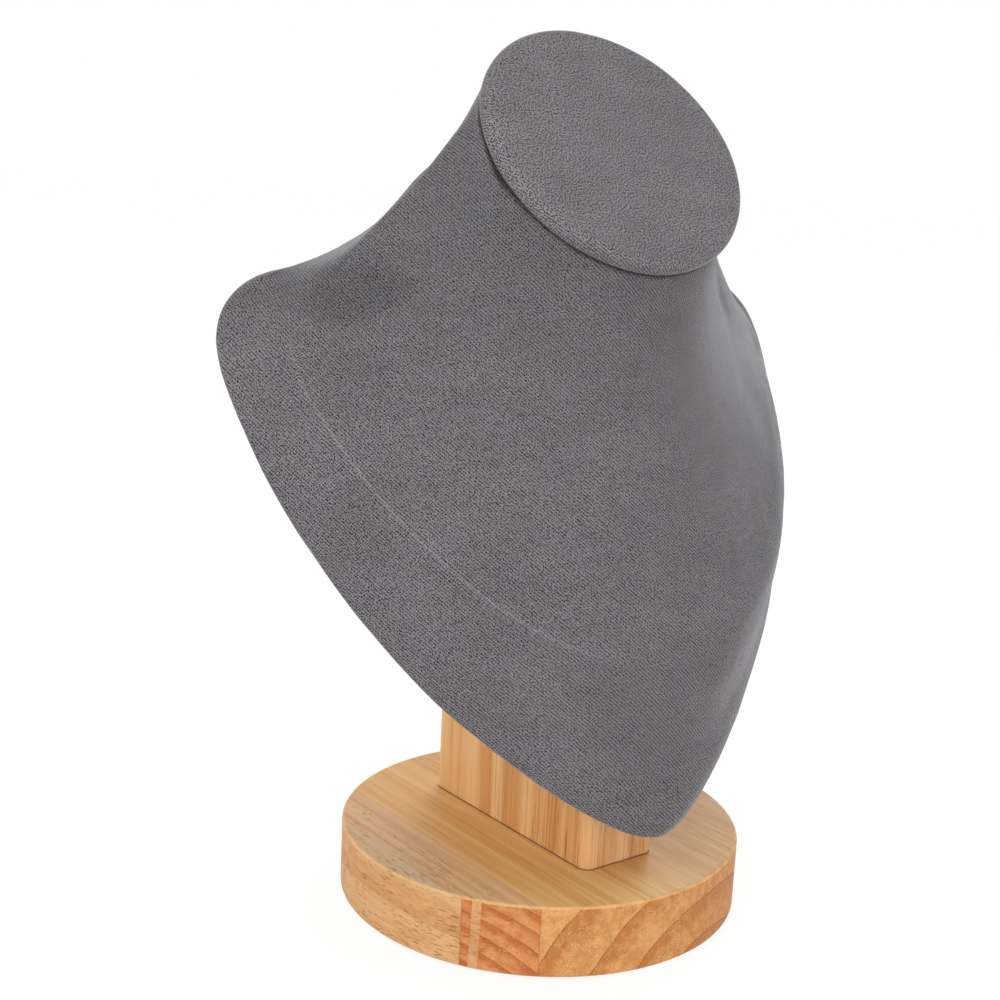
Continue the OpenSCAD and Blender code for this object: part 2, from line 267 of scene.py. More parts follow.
def cloth_rows(node):
    """The rings of the cloth's outer face, from its hem at the back to the neck. Ring by ring
    they run from the tip of the chest round by +X."""
    bm = bmesh.new()
    bm.from_mesh(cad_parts[node].data)
    bmesh.ops.remove_doubles(bm, verts=bm.verts, dist=WELD)
    near = {v: {e.other_vert(v) for e in v.link_edges} for v in bm.verts}
    lowest = min(height_of(v.co) for v in bm.verts)
    hem = {v for v in bm.verts if height_of(v.co) < lowest + LEVEL}
    roll = {
        v for v in hem
        if any(LEVEL < height_of(w.co) - lowest < ROLL_STEP for w in near[v])
    }
    ring = [min(roll, key=lambda v: v.co.z)]
    ring.append(max(near[ring[0]] & roll, key=lambda v: v.co.x))
    while True:
        ahead = (near[ring[-1]] & roll) - set(ring)
        if not ahead:
            break
        ring.append(ahead.pop())

    def beyond(ring, before):
        """The next ring, aligned with this one by the vertices with one free neighbour."""
        free = [near[v] - set(ring) - before for v in ring]
        found = [None] * len(ring)
        used = set()
        while None in found:
            for j, choice in enumerate(free):
                left = choice - used
                if found[j] is None and len(left) == 1:
                    found[j] = left.pop()
                    used.add(found[j])
        return found

    inner = beyond(ring, {v for v in bm.verts if v not in hem})
    rows = [inner, ring]
    while True:
        row = beyond(rows[-1], set(rows[-2]))
        step = sum((a.co - b.co).length for a, b in zip(row, rows[-1])) / len(row)
        if step < UNDER_STEP:
            break
        rows.append(row)
    points = [[v.co.copy() for v in row] for row in rows]
    bm.free()
    return points


# The flat cloth is turned so that it runs upright between these rows, in its middle
UPRIGHT_FROM = 9
UPRIGHT_TO = 14
SPREAD_ROUNDS = 60


def spread_flat(rows):
    """Lays rings of cloth flat, cut open at their first point, in metres, with the second
    coordinate up the slope at the middle of the chest. Each flat row has one point more than
    its ring."""
    n = len(rows[0])
    mesh = bpy.data.meshes.new("flat")
    faces = []
    for r in range(len(rows) - 1):
        for j in range(n):
            low = r * (n + 1) + j
            faces.append((low, low + 1, low + n + 2, low + n + 1))
    mesh.from_pydata([p for row in rows for p in row + row[:1]], [], faces)
    mesh.uv_layers.new(name="flat")
    piece = bpy.data.objects.new("flat", mesh)
    bpy.context.scene.collection.objects.link(piece)
    bpy.context.view_layer.objects.active = piece
    piece.select_set(True)
    bpy.ops.object.mode_set(mode="EDIT")
    bpy.ops.mesh.select_all(action="SELECT")
    bpy.ops.uv.unwrap(method="MINIMUM_STRETCH", iterations=SPREAD_ROUNDS)
    bpy.ops.object.mode_set(mode="OBJECT")
    layer = mesh.uv_layers["flat"]
    real = sum(p.area for p in mesh.polygons)
    place = {loop.vertex_index: layer.data[loop.index].uv.copy() for loop in mesh.loops}
    flat = 0
    for p in mesh.polygons:
        corners = [place[i] for i in p.vertices]
        for a, b in zip(corners, corners[1:] + corners[:1]):
            flat += (a.x * b.y - a.y * b.x) / 2
    bpy.data.objects.remove(piece)
    scale = math.sqrt(real / abs(flat))
    low = place[UPRIGHT_FROM * (n + 1) + n // 2]
    high = place[UPRIGHT_TO * (n + 1) + n // 2]
    turn = math.pi / 2 - math.atan2((high - low).y, (high - low).x)
    cos, sin = math.cos(turn) * scale, math.sin(turn) * scale
    flat_rows = []
    for r in range(len(rows)):
        row = []
        for j in range(n + 1):
            x, y = place[r * (n + 1) + j] - low
            row.append(Vector((x * cos - y * sin, x * sin + y * cos, 0)))
        flat_rows.append(row)
    return flat_rows


# Materials

def colour(r, g, b):
    """A colour given in the 0 to 255 of a screen, as the linear values of a material."""
    def linear(c):
        c /= 255
        return c / 12.92 if c <= 0.04045 else ((c + 0.055) / 1.055) ** 2.4

    return linear(r), linear(g), linear(b), 1


class Nodes:
    """A node tree, with short calls for what is made in it."""

    def __init__(self, tree):
        self.tree = tree
        self.tree.nodes.clear()

    def put(self, socket, value):
        if isinstance(value, bpy.types.NodeSocket):
            self.tree.links.new(value, socket)
        else:
            socket.default_value = value

    def node(self, kind, *values, **settings):
        """A node, with values for its first sockets."""
        node = self.tree.nodes.new("ShaderNode" + kind)
        for key, value in settings.items():
            setattr(node, key, value)
        for socket, value in zip(node.inputs, values):
            self.put(socket, value)
        return node

    def math(self, operation, *values):
        return self.node("Math", *values, operation=operation).outputs[0]

    def vector(self, operation, *values):
        node = self.node("VectorMath", *values, operation=operation)
        return node.outputs[1 if operation in ("DOT_PRODUCT", "LENGTH") else 0]

    def split(self, vector):
        return self.node("SeparateXYZ", vector).outputs

    def length(self, x, y):
        """The length of a way with these two parts."""
        square = self.math("ADD", self.math("MULTIPLY", x, x), self.math("MULTIPLY", y, y))
        return self.math("SQRT", square)

    def noise(self, vector, per_unit, detail=2.0, rough=0.5, warp=0.0, shift=None):
        """Soft noise with about per_unit features to a unit, along x, y and z or alike along
        all three."""
        if not isinstance(per_unit, tuple):
            per_unit = (per_unit, per_unit, per_unit)
        vector = self.vector("MULTIPLY", vector, per_unit)
        if shift is not None:
            vector = self.vector("ADD", vector, shift)
        node = self.node("TexNoise", vector)
        node.inputs["Scale"].default_value = 1
        node.inputs["Detail"].default_value = detail
        node.inputs["Roughness"].default_value = rough
        node.inputs["Distortion"].default_value = warp
        return node.outputs[0]

    def grade(self, value, low, high, to_low=0.0, to_high=1.0):
        """Maps low..high smoothly to to_low..to_high, held at both ends."""
        node = self.node("MapRange", interpolation_type="SMOOTHSTEP")
        for socket, number in zip(node.inputs, (value, low, high, to_low, to_high)):
            self.put(socket, number)
        return node.outputs[0]

    def vary(self, noise, to_low=0.0, to_high=1.0, reach=0.2):
        """Maps a noise to to_low..to_high, over this reach on both sides of its middle."""
        return self.grade(noise, 0.5 - reach, 0.5 + reach, to_low, to_high)

    def mix(self, share, a, b, blend="MIX"):
        node = self.node("Mix", data_type="RGBA", blend_type=blend)
        self.put(node.inputs[0], share)
        self.put(node.inputs[6], a)
        self.put(node.inputs[7], b)
        return node.outputs[2]

    def times(self, tone, value):
        """A colour times a number."""
        grey = self.node("CombineXYZ", value, value, value).outputs[0]
        return self.mix(1.0, tone, grey, "MULTIPLY")

    def seen(self):
        """1 for the rays that show a thing, directly or in or through another, else 0."""
        rays = self.node("LightPath").outputs
        seen = self.math("MAXIMUM", rays["Is Camera Ray"], rays["Is Glossy Ray"])
        return self.math("MAXIMUM", seen, rays["Is Transmission Ray"])


class Material(Nodes):
    """A material with one main shader."""

    def __init__(self, name):
        self.material = bpy.data.materials.new(name)
        self.material.use_nodes = True
        super().__init__(self.material.node_tree)
        output = self.node("OutputMaterial")
        self.shader = self.node("BsdfPrincipled")
        self.put(output.inputs[0], self.shader.outputs[0])

    def place(self):
        """Object coordinates in millimetres."""
        place = self.node("TexCoord").outputs["Object"]
        return self.vector("MULTIPLY", place, (MM, MM, MM))

    def weave(self):
        """The cloth's own coordinates in millimetres."""
        place = self.node("UVMap", uv_map="weave").outputs[0]
        return self.vector("MULTIPLY", place, (MM, MM, MM))

    def kept(self, name):
        """A number that a piece keeps at its points, or 0 where it keeps none."""
        return self.node("Attribute", attribute_name=name).outputs["Fac"]

    def normals(self):
        """The three parts of the direction that a face looks in."""
        return self.split(self.node("NewGeometry").outputs["Normal"])

    def bump(self, height, strength, distance):
        node = self.node("Bump")
        node.inputs["Strength"].default_value = strength
        node.inputs["Distance"].default_value = distance
        self.put(node.inputs["Height"], height)
        return node.outputs[0]

    def finish(self, **sockets):
        for name, value in sockets.items():
            self.put(self.shader.inputs[name.replace("_", " ")], value)
        return self.material


# Ribs of the suede, and the finer ones that cut them into dashes: the direction in the flat
# cloth in degrees, and the pitch
RIBS = (-43, 0.74)
CUTS = (41, 0.56)
# How finely the weave wavers, before the noise's own scale of 5, and how far
WAVER_SCALE = (0.9, 0.9, 0)
WAVER_REACH = (1.3, 1.3, 0)
# How strong the ribs are where they are weakest, as a share, and how much stronger they show
# on the cap's edge
WEAK_RIBS = 0.45
EDGE_RIBS = 1.2
# Heights of the weave and nap from which they are darkest and lightest, and those tones
WEAVE_LOW, WEAVE_HIGH = -0.95, 0.40
DARKEST, LIGHTEST = 0.03, 1.70
# How much the tone differs in wide clouds, and in strokes along the cloth
CLOUD_TONE = 0.06
STROKE_TONE = 0.035
# The height over which the tone changes to that of the neck
NECK_FROM, NECK_TO = 120.0, 185.0
# Up to this share of its radii a patch has its full tone, and its outline wanders by
# this share
PATCH_CORE = 0.4
PATCH_RAGGED = 0.3
# Painted shade on the cloth between the ridge and the hem, which faces down: its tone, and
# over how far it changes to that
BELOW_RIDGE_SHADE = 0.955
BEYOND_WIDTH = 3.0
# Half the width of the painted highlight along the ridge, and how much lighter it is
LINE_HALF = 0.65
RIDGE_LIGHT_GAIN = 0.34
# Tone of the painted shadow along the seam under the cap
SEAM_SHADOW_TONE = 0.28
# Shares of red, green and blue in places where the dye is warmer
WARMER = (1.03, 0.99, 0.97)


def suede(name, tone, rib, nap, neck=1.0, patches=(), relief=0.25, grain=2.7):
    """Napped microfibre: fine ribs one way, cut into short dashes by finer ones the other way,
    with a nap over them. rib and nap are how strong each is, neck is the tone high on the
    slope, towards the neck, and patches are places with a tone of their own, where the nap is
    brushed the other way or a sheen or shade is painted: (place, radii along x, y and z,
    tone).
    relief is how deep the nap looks, and grain how many tufts it has to a millimetre."""
    m = Material(name)
    weave = m.weave()
    place = m.place()

    # The weave wavers a little
    waver = m.node("TexNoise", m.vector("MULTIPLY", weave, WAVER_SCALE)).outputs[1]
    waver = m.vector("SUBTRACT", waver, (0.5, 0.5, 0.5))
    wavered = m.vector("ADD", weave, m.vector("MULTIPLY", waver, WAVER_REACH))

    def ribs(turn, pitch):
        a = math.radians(turn)
        k = 2 * math.pi / pitch
        across = (-math.sin(a) * k, math.cos(a) * k, 0)
        return m.math("SINE", m.vector("DOT_PRODUCT", wavered, across))

    main = ribs(*RIBS)
    cut = ribs(*CUTS)
    tuft = m.noise(weave, (grain, grain, 1), rough=0.7)
    patchy = m.noise(weave, (0.55, 0.55, 1), detail=1.0)
    strength = m.vary(patchy, rib * WEAK_RIBS, rib)
    strength = m.math("MULTIPLY_ADD", m.kept("edge_band"), EDGE_RIBS, strength)
    woven = m.math("MULTIPLY_ADD", main, 0.5, m.math("MULTIPLY", cut, 0.5))
    woven = m.math("MULTIPLY", woven, strength)
    fluff = m.math("MULTIPLY", m.math("SUBTRACT", tuft, 0.5), nap)
    height = m.math("ADD", woven, fluff)
    shade = m.grade(height, WEAVE_LOW, WEAVE_HIGH, DARKEST, LIGHTEST)

    # Wide soft clouds, and strokes along the cloth
    cloud = m.noise(place, 0.045, detail=3.0, rough=0.55)
    clouds = m.vary(cloud, 1 - CLOUD_TONE, 1 + CLOUD_TONE)
    shade = m.math("MULTIPLY", shade, clouds)
    stroke = m.noise(weave, (0.03, 0.16, 1), detail=3.0, rough=0.6)
    strokes = m.vary(stroke, 1 - STROKE_TONE, 1 + STROKE_TONE, reach=0.15)
    shade = m.math("MULTIPLY", shade, strokes)

    high = m.split(place)[2]
    # Darker high up the slope, towards the neck
    shade = m.math("MULTIPLY", shade, m.grade(high, NECK_FROM, NECK_TO, 1.0, neck))
    # Patches of brushed nap, and of painted sheen and painted shade
    for centre, radii, amount in patches:
        off = m.vector("DIVIDE", m.vector("SUBTRACT", place, centre), radii)
        ragged = m.vary(cloud, -PATCH_RAGGED, PATCH_RAGGED)
        reach = m.math("ADD", m.vector("LENGTH", off), ragged)
        shade = m.math("MULTIPLY", shade, m.grade(reach, PATCH_CORE, 1.0, amount, 1.0))

    # The ridge and the seam, with painted shade below the ridge, a painted highlight along it
    # and a painted shadow along the seam
    off = m.kept("ridge_off")
    # Painted shade on the band below the ridge
    beyond = m.grade(off, -BEYOND_WIDTH, 0.0, BELOW_RIDGE_SHADE, 1.0)
    shade = m.math("MULTIPLY", shade, beyond)
    # A painted highlight along the ridge
    line = m.grade(m.math("ABSOLUTE", off), 0.0, LINE_HALF, 1.0, 0.0)
    line = m.math("MULTIPLY", line, m.kept("ridge_highlight"))
    shade = m.math("MULTIPLY_ADD", line, RIDGE_LIGHT_GAIN, shade)
    # A painted shadow along the seam under the cap
    seam_shadow_share = m.grade(m.kept("seam_shadow"), 0.0, 1.0, 1.0, SEAM_SHADOW_TONE)
    shade = m.math("MULTIPLY", shade, seam_shadow_share)

    dye = m.vary(m.noise(place, 0.11), reach=0.15)
    warm = (*(a * b for a, b in zip(tone, WARMER)), 1)
    return m.finish(
        Base_Color=m.times(m.mix(dye, tone, warm), shade),
        Roughness=m.vary(tuft, 0.86, 0.98),
        Normal=m.bump(height, relief, 0.0001),
        Sheen_Weight=0.75,
        Sheen_Roughness=0.27,
        Sheen_Tint=(0.96, 0.96, 1.0, 1),
        Specular_IOR_Level=0.10,
    )


# How far inside a growth ring's outer edge its dark line sets in and is full
RING_LINE_FROM = 0.55
RING_LINE_FULL = 0.15
# How far a ring wanders, as a share of its width, and the share of it that stays pale
RING_WANDER = 0.35
RING_PALE = 0.35
# Shares of the deep tone in a ring's late wood and in a band, and of the line's colour in a
# hair and in the dark line of a ring
LATE_SHARE = 0.75
BAND_SHARE = 0.6
HAIR_SHARE = 0.25
LINE_SHARE = 0.65
# How much the tone differs from fibre to fibre
FIBRE_TONE = 0.05


def timber(m, mm, pith, edge_at, ring, pale, deep, line, plain, seed):
    """Colour of one stave, grain along Y. pith is the x and z of the centre of its growth
    rings, ring their width and edge_at the radius of one ring's dark edge. A ring darkens
    outwards up to its edge. plain is how plainly the rings show."""
    wander = m.noise(mm, (0.035, 0.012, 0.035), shift=(seed, seed * 2, seed))
    wander = m.math("SUBTRACT", wander, 0.5)
    x, _, z = m.split(mm)
    away = m.length(m.math("SUBTRACT", x, pith[0]), m.math("SUBTRACT", z, pith[1]))
    away = m.math("SUBTRACT", away, edge_at)
    away = m.math("MULTIPLY_ADD", wander, ring * RING_WANDER, away)
    phase = m.math("FRACT", m.math("DIVIDE", away, ring))
    late = m.math("MULTIPLY", m.grade(phase, RING_PALE, 1.0), plain)
    edge = m.grade(phase, 1 - RING_LINE_FROM / ring, 1 - RING_LINE_FULL / ring)

    # Bands, fibres and hairs, drawn out along the grain
    band = m.noise(mm, (0.42, 0.011, 0.42), rough=0.6, shift=(seed, 0, seed))
    fibre = m.noise(mm, (1.5, 0.04, 1.5), detail=3.0, rough=0.65, shift=(0, seed, 0))
    hair = m.noise(mm, (2.2, 0.028, 2.2), rough=0.6, shift=(seed, seed, 0))
    mixed = m.math("MULTIPLY_ADD", late, LATE_SHARE, m.vary(band, 0.0, BAND_SHARE, reach=0.18))
    body = m.mix(mixed, pale, deep)
    hair = m.math("MULTIPLY", m.grade(hair, 0.56, 0.68), m.vary(band, 0.25, 1.0, reach=0.1))
    body = m.mix(m.math("MULTIPLY", hair, HAIR_SHARE), body, line)
    edge = m.math("MULTIPLY", m.math("MULTIPLY", edge, plain), LINE_SHARE)
    body = m.mix(edge, body, line)
    return m.times(body, m.vary(fibre, 1 - FIBRE_TONE, 1 + FIBRE_TONE))


# The base's joints in x, and half the width of their lines
JOINTS = (-48.1, -34.6)
JOINT_HALF = 0.25
# The thin light strip in the reddish stave: its left side at the height 0, how far it leans in
# a millimetre of height, and its width
STRIP_AT = -46.9
STRIP_LEAN = 0.015
STRIP_W = 1.45
# Where the widest stave goes from gold to brown
BROWN_FROM, BROWN_TO = -14.0, 26.0
# Left of this, the base has more open pores
PORES_TO = -40.0
# How much of a pore's own colour shows
PORE_SHARE = 0.62
# How far in from the sharp corner of the base's upper edge its wear and painted highlight set
# in and are full, as the sum of the way in and the way down
WORN_FROM, WORN_FULL = -0.78, -0.62
# Painted shade in the corner round the post: how wide it is on the base, how wide with its
# soft edge, and its colour
FOOT_SHADE_W = 3.0
FOOT_SHADE_SOFT = 3.5
FOOT_SHADE = colour(84, 44, 18)


def base_wood():
    """Edge-glued staves, each with rings and tone of its own. The widest one goes from gold on
    the left to brown on the right."""
    m = Material("base_wood")
    mm = m.place()
    x, y, z = m.split(mm)
    _, facing_y, facing_z = m.normals()
    end = m.grade(m.math("ABSOLUTE", facing_y), 0.45, 0.85)
    rim = m.grade(m.math("ABSOLUTE", facing_z), 0.25, 0.75, 1.0, 0.0)
    plain = m.grade(rim, 0.0, 1.0, 0.22, 1.0)

    def stave(top, side, line, pith, edge_at, ring, seed):
        """A stave, with its pale and deep tones on top and on its side."""
        pale, deep = (m.mix(rim, colour(*a), colour(*b)) for a, b in zip(top, side))
        return timber(m, mm, pith, edge_at, ring, pale, deep, colour(*line), plain, seed)

    # The tones on top are paler and greyer than on the side: partly the grain, partly a
    # painted reflection of the white surroundings
    left = stave(
        top=((214, 182, 142), (192, 148, 104)), side=((218, 172, 120), (200, 146, 92)),
        line=(200, 150, 96), pith=(-20, 90), edge_at=70, ring=17, seed=1.3)
    red = stave(
        top=((218, 180, 134), (204, 140, 90)), side=((214, 146, 86), (186, 104, 52)),
        line=(172, 96, 50), pith=(-76, -37.5), edge_at=57.0, ring=3.9, seed=2.9)
    gold = stave(
        top=((224, 180, 118), (206, 146, 80)), side=((221, 163, 99), (190, 120, 60)),
        line=(158, 92, 44), pith=(19, -20.6), edge_at=36.6, ring=11.6, seed=4.1)
    brown = stave(
        top=((194, 150, 90), (174, 122, 62)), side=((208, 147, 88), (188, 119, 63)),
        line=(146, 84, 40), pith=(19, -20.6), edge_at=36.6, ring=11.6, seed=4.1)

    tone = m.mix(m.math("GREATER_THAN", x, JOINTS[0]), left, red)
    strip_left = m.math("MULTIPLY_ADD", z, STRIP_LEAN, STRIP_AT)
    strip_right = m.math("ADD", strip_left, STRIP_W)
    strip = m.math("MULTIPLY", m.math("GREATER_THAN", x, strip_left),
                   m.math("LESS_THAN", x, strip_right))
    strip = m.math("MULTIPLY", strip, m.grade(rim, 0.0, 1.0, 0.15, 0.8))
    tone = m.mix(strip, tone, left)
    tone = m.mix(m.math("GREATER_THAN", x, JOINTS[1]), tone, gold)
    tone = m.mix(m.grade(x, BROWN_FROM, BROWN_TO), tone, brown)

    # Open pores: short dark dashes along the grain, in ladders on the left stave
    pore = m.mix(rim, m.noise(mm, (2.5, 0.24, 2.5), detail=1.0),
                 m.noise(mm, (0.5, 0.32, 2.8), detail=1.0))
    ladder = m.noise(mm, (0.16, 0.10, 0.16))
    few, many = (0.80, 0.80, 0.80, 1), (0.63, 0.63, 0.63, 1)
    gate = m.mix(m.math("LESS_THAN", x, PORES_TO), few, many)
    gate = m.math("ADD", gate, m.vary(ladder, 0.06, -0.06, reach=0.15))
    dash = m.grade(m.math("SUBTRACT", pore, gate), 0.0, 0.05)
    open_pore = m.math("MULTIPLY", dash, m.math("SUBTRACT", 1.0, end))
    tone = m.mix(m.math("MULTIPLY", open_pore, PORE_SHARE), tone, colour(138, 84, 44))

    # Pale specks on the end grain
    speck = m.noise(mm, (2.9, 0.9, 2.9), detail=1.0)
    speck = m.math("MULTIPLY", m.grade(speck, 0.60, 0.70), end)
    crowded = m.grade(m.noise(mm, (0.15, 0.05, 0.15)), 0.35, 0.6, 0.1, 0.6)
    tone = m.mix(m.math("MULTIPLY", speck, crowded), tone, colour(250, 214, 158))

    # The upper edge is pale: partly wear, partly a painted highlight on its rounded edge
    corner = m.math("ADD", m.math("SUBTRACT", m.length(x, y), BASE_R),
                    m.math("SUBTRACT", z, BASE_TOP))
    worn = m.grade(corner, WORN_FROM, WORN_FULL)
    scuff = m.vary(m.noise(mm, 0.3, detail=3.0), 0.2, 0.8, reach=0.15)
    tone = m.mix(m.math("MULTIPLY", worn, scuff), tone, colour(236, 186, 120))

    # Painted shade round the foot of the post
    post_x, post_y = (
        m.math("MAXIMUM", m.math("SUBTRACT", m.math("ABSOLUTE", at), half - POST_EDGE_R), 0.0)
        for at, half in ((x, POST_HALF_W), (y, POST_HALF_L)))
    foot_shadow = m.grade(m.length(post_x, post_y), FOOT_SHADE_W, FOOT_SHADE_SOFT, 0.75, 0.0)
    tone = m.mix(foot_shadow, tone, FOOT_SHADE)

    joint_a, joint_b = (
        m.grade(m.math("ABSOLUTE", m.math("SUBTRACT", x, at)), 0.0, JOINT_HALF, 1.0, 0.0)
        for at in JOINTS)
    joint = m.math("MAXIMUM", joint_a, joint_b)
    joint = m.math("MULTIPLY", joint, m.grade(rim, 0.0, 1.0, 0.12, 0.4))
    tone = m.mix(joint, tone, colour(150, 94, 50))

    fibre = m.noise(mm, (1.6, 0.08, 1.6), rough=0.6)
    relief = m.math("MULTIPLY_ADD", dash, -0.7, m.math("MULTIPLY", fibre, 0.4))
    matt = m.math("ADD", fibre, m.math("MULTIPLY", rim, 0.3))
    return m.finish(
        Base_Color=tone,
        Roughness=m.grade(matt, 0.3, 0.9, 0.42, 0.62),
        Normal=m.bump(relief, 0.25, 0.00012),
        Specular_IOR_Level=0.25,
    )


# The post's streaks crowd from the back to the front, between these places
CROWD_FROM, CROWD_TO = 22.0, -22.0
# How far the post's grain bows
POST_BOW = 3.0
# Where the wear of its upright edges sets in and is full, as on the base
POST_WORN_FROM, POST_WORN_FULL = -2.8, -2.0
# How high the painted shade reaches on its foot
FOOT_SHADE_H = 0.5


def post_wood():
    """One block, grain upright, with fine dark streaks that crowd towards its front."""
    m = Material("post_wood")
    mm = m.place()
    x, y, z = m.split(mm)
    front = m.grade(m.normals()[1], -0.5, -0.9)

    bow = m.math("MULTIPLY", m.noise(mm, (0.05, 0.05, 0.012)), POST_BOW)
    bent = m.vector("ADD", mm, m.node("CombineXYZ", bow, bow, 0.0).outputs[0])
    broad = m.noise(bent, (0.22, 0.16, 0.004))
    fine = m.noise(bent, (1.1, 0.9, 0.012), detail=3.0, rough=0.62)
    hair = m.noise(bent, (2.9, 2.6, 0.055), rough=0.6)
    tone = m.mix(m.vary(broad, reach=0.14), colour(230, 185, 130), colour(210, 153, 93))

    # Painted light on its narrow front: it is paler and brighter, with fewer streaks
    tone = m.mix(m.math("MULTIPLY", front, 0.3), tone, colour(226, 190, 150))
    tone = m.times(tone, m.grade(front, 0.0, 1.0, 1.0, 1.16))
    crowd = m.math("MULTIPLY", m.grade(y, CROWD_FROM, CROWD_TO, 0.25, 1.0),
                   m.grade(front, 0.0, 1.0, 1.0, 0.6))
    darker = m.math("MULTIPLY", m.grade(fine, 0.47, 0.66, 0.0, 0.9), crowd)
    tone = m.mix(darker, tone, colour(190, 124, 66))
    streak = m.math("MULTIPLY", m.grade(hair, 0.60, 0.67), crowd)
    tone = m.mix(m.math("MULTIPLY", streak, 0.7), tone, colour(132, 80, 40))

    # Its upright edges are worn pale, and its foot has painted shade
    corner = m.math("ADD", m.math("SUBTRACT", m.math("ABSOLUTE", x), POST_HALF_W),
                    m.math("SUBTRACT", m.math("ABSOLUTE", y), POST_HALF_L))
    worn = m.grade(corner, POST_WORN_FROM, POST_WORN_FULL)
    tone = m.mix(m.math("MULTIPLY", worn, 0.6), tone, colour(238, 188, 128))
    tone = m.mix(m.grade(z, BASE_TOP, BASE_TOP + FOOT_SHADE_H, 0.8, 0.0), tone, FOOT_SHADE)

    relief = m.math("MULTIPLY_ADD", streak, -0.6, m.math("MULTIPLY", fine, 0.5))
    return m.finish(
        Base_Color=tone,
        Roughness=m.vary(fine, 0.45, 0.6),
        Normal=m.bump(relief, 0.25, 0.00012),
        Specular_IOR_Level=0.25,
    )


def felt():
    m = Material("felt")
    hair = m.noise(m.place(), 1.8, detail=4.0, rough=0.7, warp=1.2)
    dark, light = (0.018, 0.018, 0.019, 1), (0.05, 0.05, 0.052, 1)
    return m.finish(
        Base_Color=m.mix(m.vary(hair, reach=0.15), dark, light),
        Roughness=m.vary(hair, 0.9, 1.0),
        Normal=m.bump(hair, 0.6, 0.0003),
        Sheen_Weight=0.2,
        Specular_IOR_Level=0.1,
    )


def fibreboard():
    m = Material("fibreboard")
    chip = m.noise(m.place(), 0.9, detail=4.0, rough=0.7, warp=0.8)
    dark, light = (0.26, 0.17, 0.095, 1), (0.40, 0.28, 0.165, 1)
    return m.finish(
        Base_Color=m.mix(m.vary(chip, reach=0.15), dark, light),
        Roughness=m.vary(chip, 0.75, 0.9),
        Normal=m.bump(chip, 0.3, 0.0002),
    )


def form_shell():
    m = Material("form_shell")
    mm = m.place()
    cloud = m.noise(mm, 0.08, detail=3.0)
    grain = m.noise(mm, 2.0)
    dark, light = (0.57, 0.54, 0.47, 1), (0.63, 0.60, 0.53, 1)
    return m.finish(
        Base_Color=m.mix(m.vary(cloud), dark, light),
        Roughness=m.vary(grain, 0.55, 0.7),
        Normal=m.bump(grain, 0.15, 0.0001),
    )


def screw_steel():
    m = Material("screw_steel")
    turned = m.noise(m.place(), (0.7, 0.7, 9.0), detail=3.0)
    dark, light = (0.58, 0.57, 0.54, 1), (0.66, 0.65, 0.62, 1)
    return m.finish(
        Base_Color=m.mix(m.vary(turned), dark, light),
        Roughness=m.vary(turned, 0.28, 0.42),
        Normal=m.bump(turned, 0.1, 0.00005),
        Metallic=1.0,
    )


def dress(node, material):
    """Gives a solid its material."""
    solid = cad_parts[node]
    if not solid.material_slots:
        solid.data.materials.append(material)
    for place in solid.material_slots:
        place.material = material


# The cloth of the chest

# Places with a tone of their own: beside the neck and on the left shoulder the nap is brushed
# the other way; on the right shoulder a sheen is painted, and on the right of the chest a
# shade is painted
BRUSHED_AND_PAINTED_LIGHT = (
    ((-64, 7, 169), (19, 17, 9), 0.84),
    ((-88, 20, 158), (20, 26, 24), 1.14),
    ((66, 2, 160), (17, 22, 26), 1.45),
    ((50, -22, 128), (30, 28, 40), 0.89),
)
chest_suede = suede("suede_cloth", colour(107, 105, 108), rib=2.5, nap=7.5, neck=0.87,
                    patches=BRUSHED_AND_PAINTED_LIGHT)

# Which ring of the solid is the ridge, how long a step up the cloth is, and the spans between
# two points of a ring
RIDGE_ROW = 7
CHEST_STEP = 0.0022
CHEST_ACROSS = 4
# The ridge has a painted highlight on its left front only: in x up to here, and over this
# share of the way round from the tip
RIDGE_LIGHT_X = -0.020
RIDGE_LIGHT_X_FADE = 0.012
RIDGE_LIGHT_ROUND = 0.60
RIDGE_LIGHT_ROUND_FADE = 0.12
# A painted shadow along the seam under the cap: how far down it reaches, and its soft edge
SEAM_SHADE = 0.0019
SEAM_SOFT = 0.0004


def chest_piece():
    """The cloth of the chest, cut open at its seam behind the neck. Three numbers are kept at
    each point: its distance from the ridge in millimetres, which is negative on the side of
    the hem, how strong the painted highlight on the ridge is there, and how near the seam
    under the cap is, for its painted shadow."""
    rows = bridge_hollows(cloth_rows("chest_cover"))
    seam = len(rows[0]) // 2
    rows = [row[seam:] + row[:seam] for row in rows]
    spans = spans_for(rows, CHEST_STEP)
    flat = fine_rows(spread_flat(rows), CHEST_ACROSS, spans, closed=False)
    rows = fine_rows(rows, CHEST_ACROSS, spans)
    piece = ring_mesh("chest_cloth", rows, flat)
    ridge = sum(spans[:RIDGE_ROW])
    n = len(rows[0])
    off = [0.0] * len(piece.data.vertices)
    for j in range(n):
        for way in (1, -1):
            run = 0.0
            r = ridge
            while 0 <= r + way < len(rows):
                run += (rows[r + way][j] - rows[r][j]).length * MM
                r += way
                off[r * n + j] = way * run
    sharp = []
    seam_shadow = []
    for row in rows:
        for j in range(n):
            round_by = abs(j / n - 0.5) * 2
            at_front = clamp((RIDGE_LIGHT_ROUND - round_by) / RIDGE_LIGHT_ROUND_FADE)
            at_left = clamp((RIDGE_LIGHT_X - rows[ridge][j].x) / RIDGE_LIGHT_X_FADE)
            sharp.append(at_front * at_left)
            down = (rows[-1][j] - row[j]).length
            seam_shadow.append(clamp((SEAM_SHADE - down) / SEAM_SOFT))
    keep_at_points(piece, "ridge_off", off)
    keep_at_points(piece, "ridge_highlight", sharp)
    keep_at_points(piece, "seam_shadow", seam_shadow)
    soften(piece, size=0.022, height=0.00022, seed=1, nap=NAP)
    thicken(piece, CLOTH_T)
    return piece


